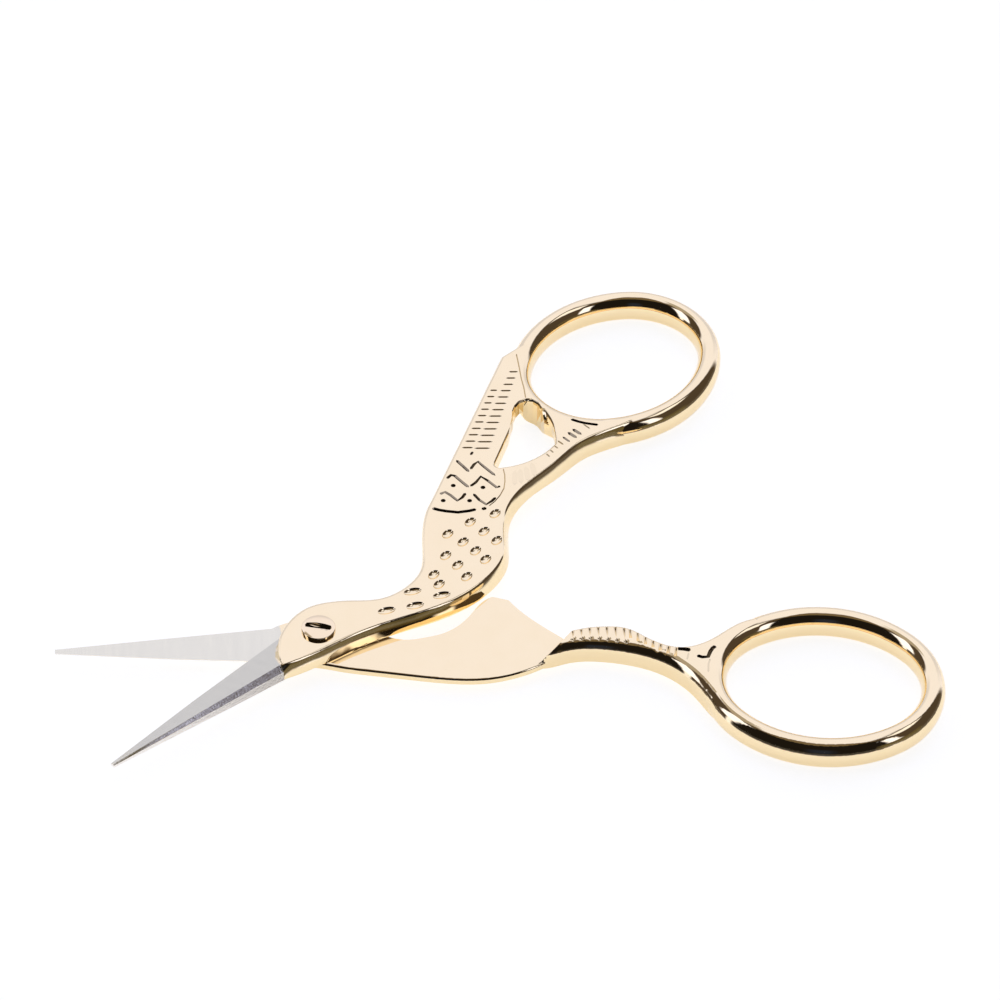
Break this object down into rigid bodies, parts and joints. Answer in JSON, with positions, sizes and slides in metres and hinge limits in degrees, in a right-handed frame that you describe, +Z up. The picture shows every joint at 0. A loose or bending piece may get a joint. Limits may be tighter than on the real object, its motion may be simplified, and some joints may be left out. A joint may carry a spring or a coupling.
{
  "type": "embroidery scissors",
  "caption": "Small stork-shaped embroidery scissors: pointed steel blades, engraved body, oval finger bows and a slotted pivot screw; they open and close.",
  "frame": {"origin": "on the pivot axis, on the flat underside of the lower half's boss, at the height that the scissors lie on", "axes": "+Z up the pivot screw towards its head; +X along the closed scissors, from the blade tips through the pivot towards the finger bows"},
  "size_m": [0.0926, 0.0741, 0.0041],
  "materials": {
    "gold_plate": "polished pale gold plating on steel",
    "screw_plate": "polished pale gold plating on steel"
  },
  "bodies": {
    "lower": {"lower_half": "gold_plate", "pivot_screw": "screw_plate"},
    "upper": {"upper_half": "gold_plate"}
  },
  "joints": [
    {"name": "pivot", "type": "hinge", "parent": "lower", "child": "upper", "pos_m": [0, 0, 0.0028], "axis": [0, 0, 1], "range_deg": [-37.1, 52.9]}
  ]
}
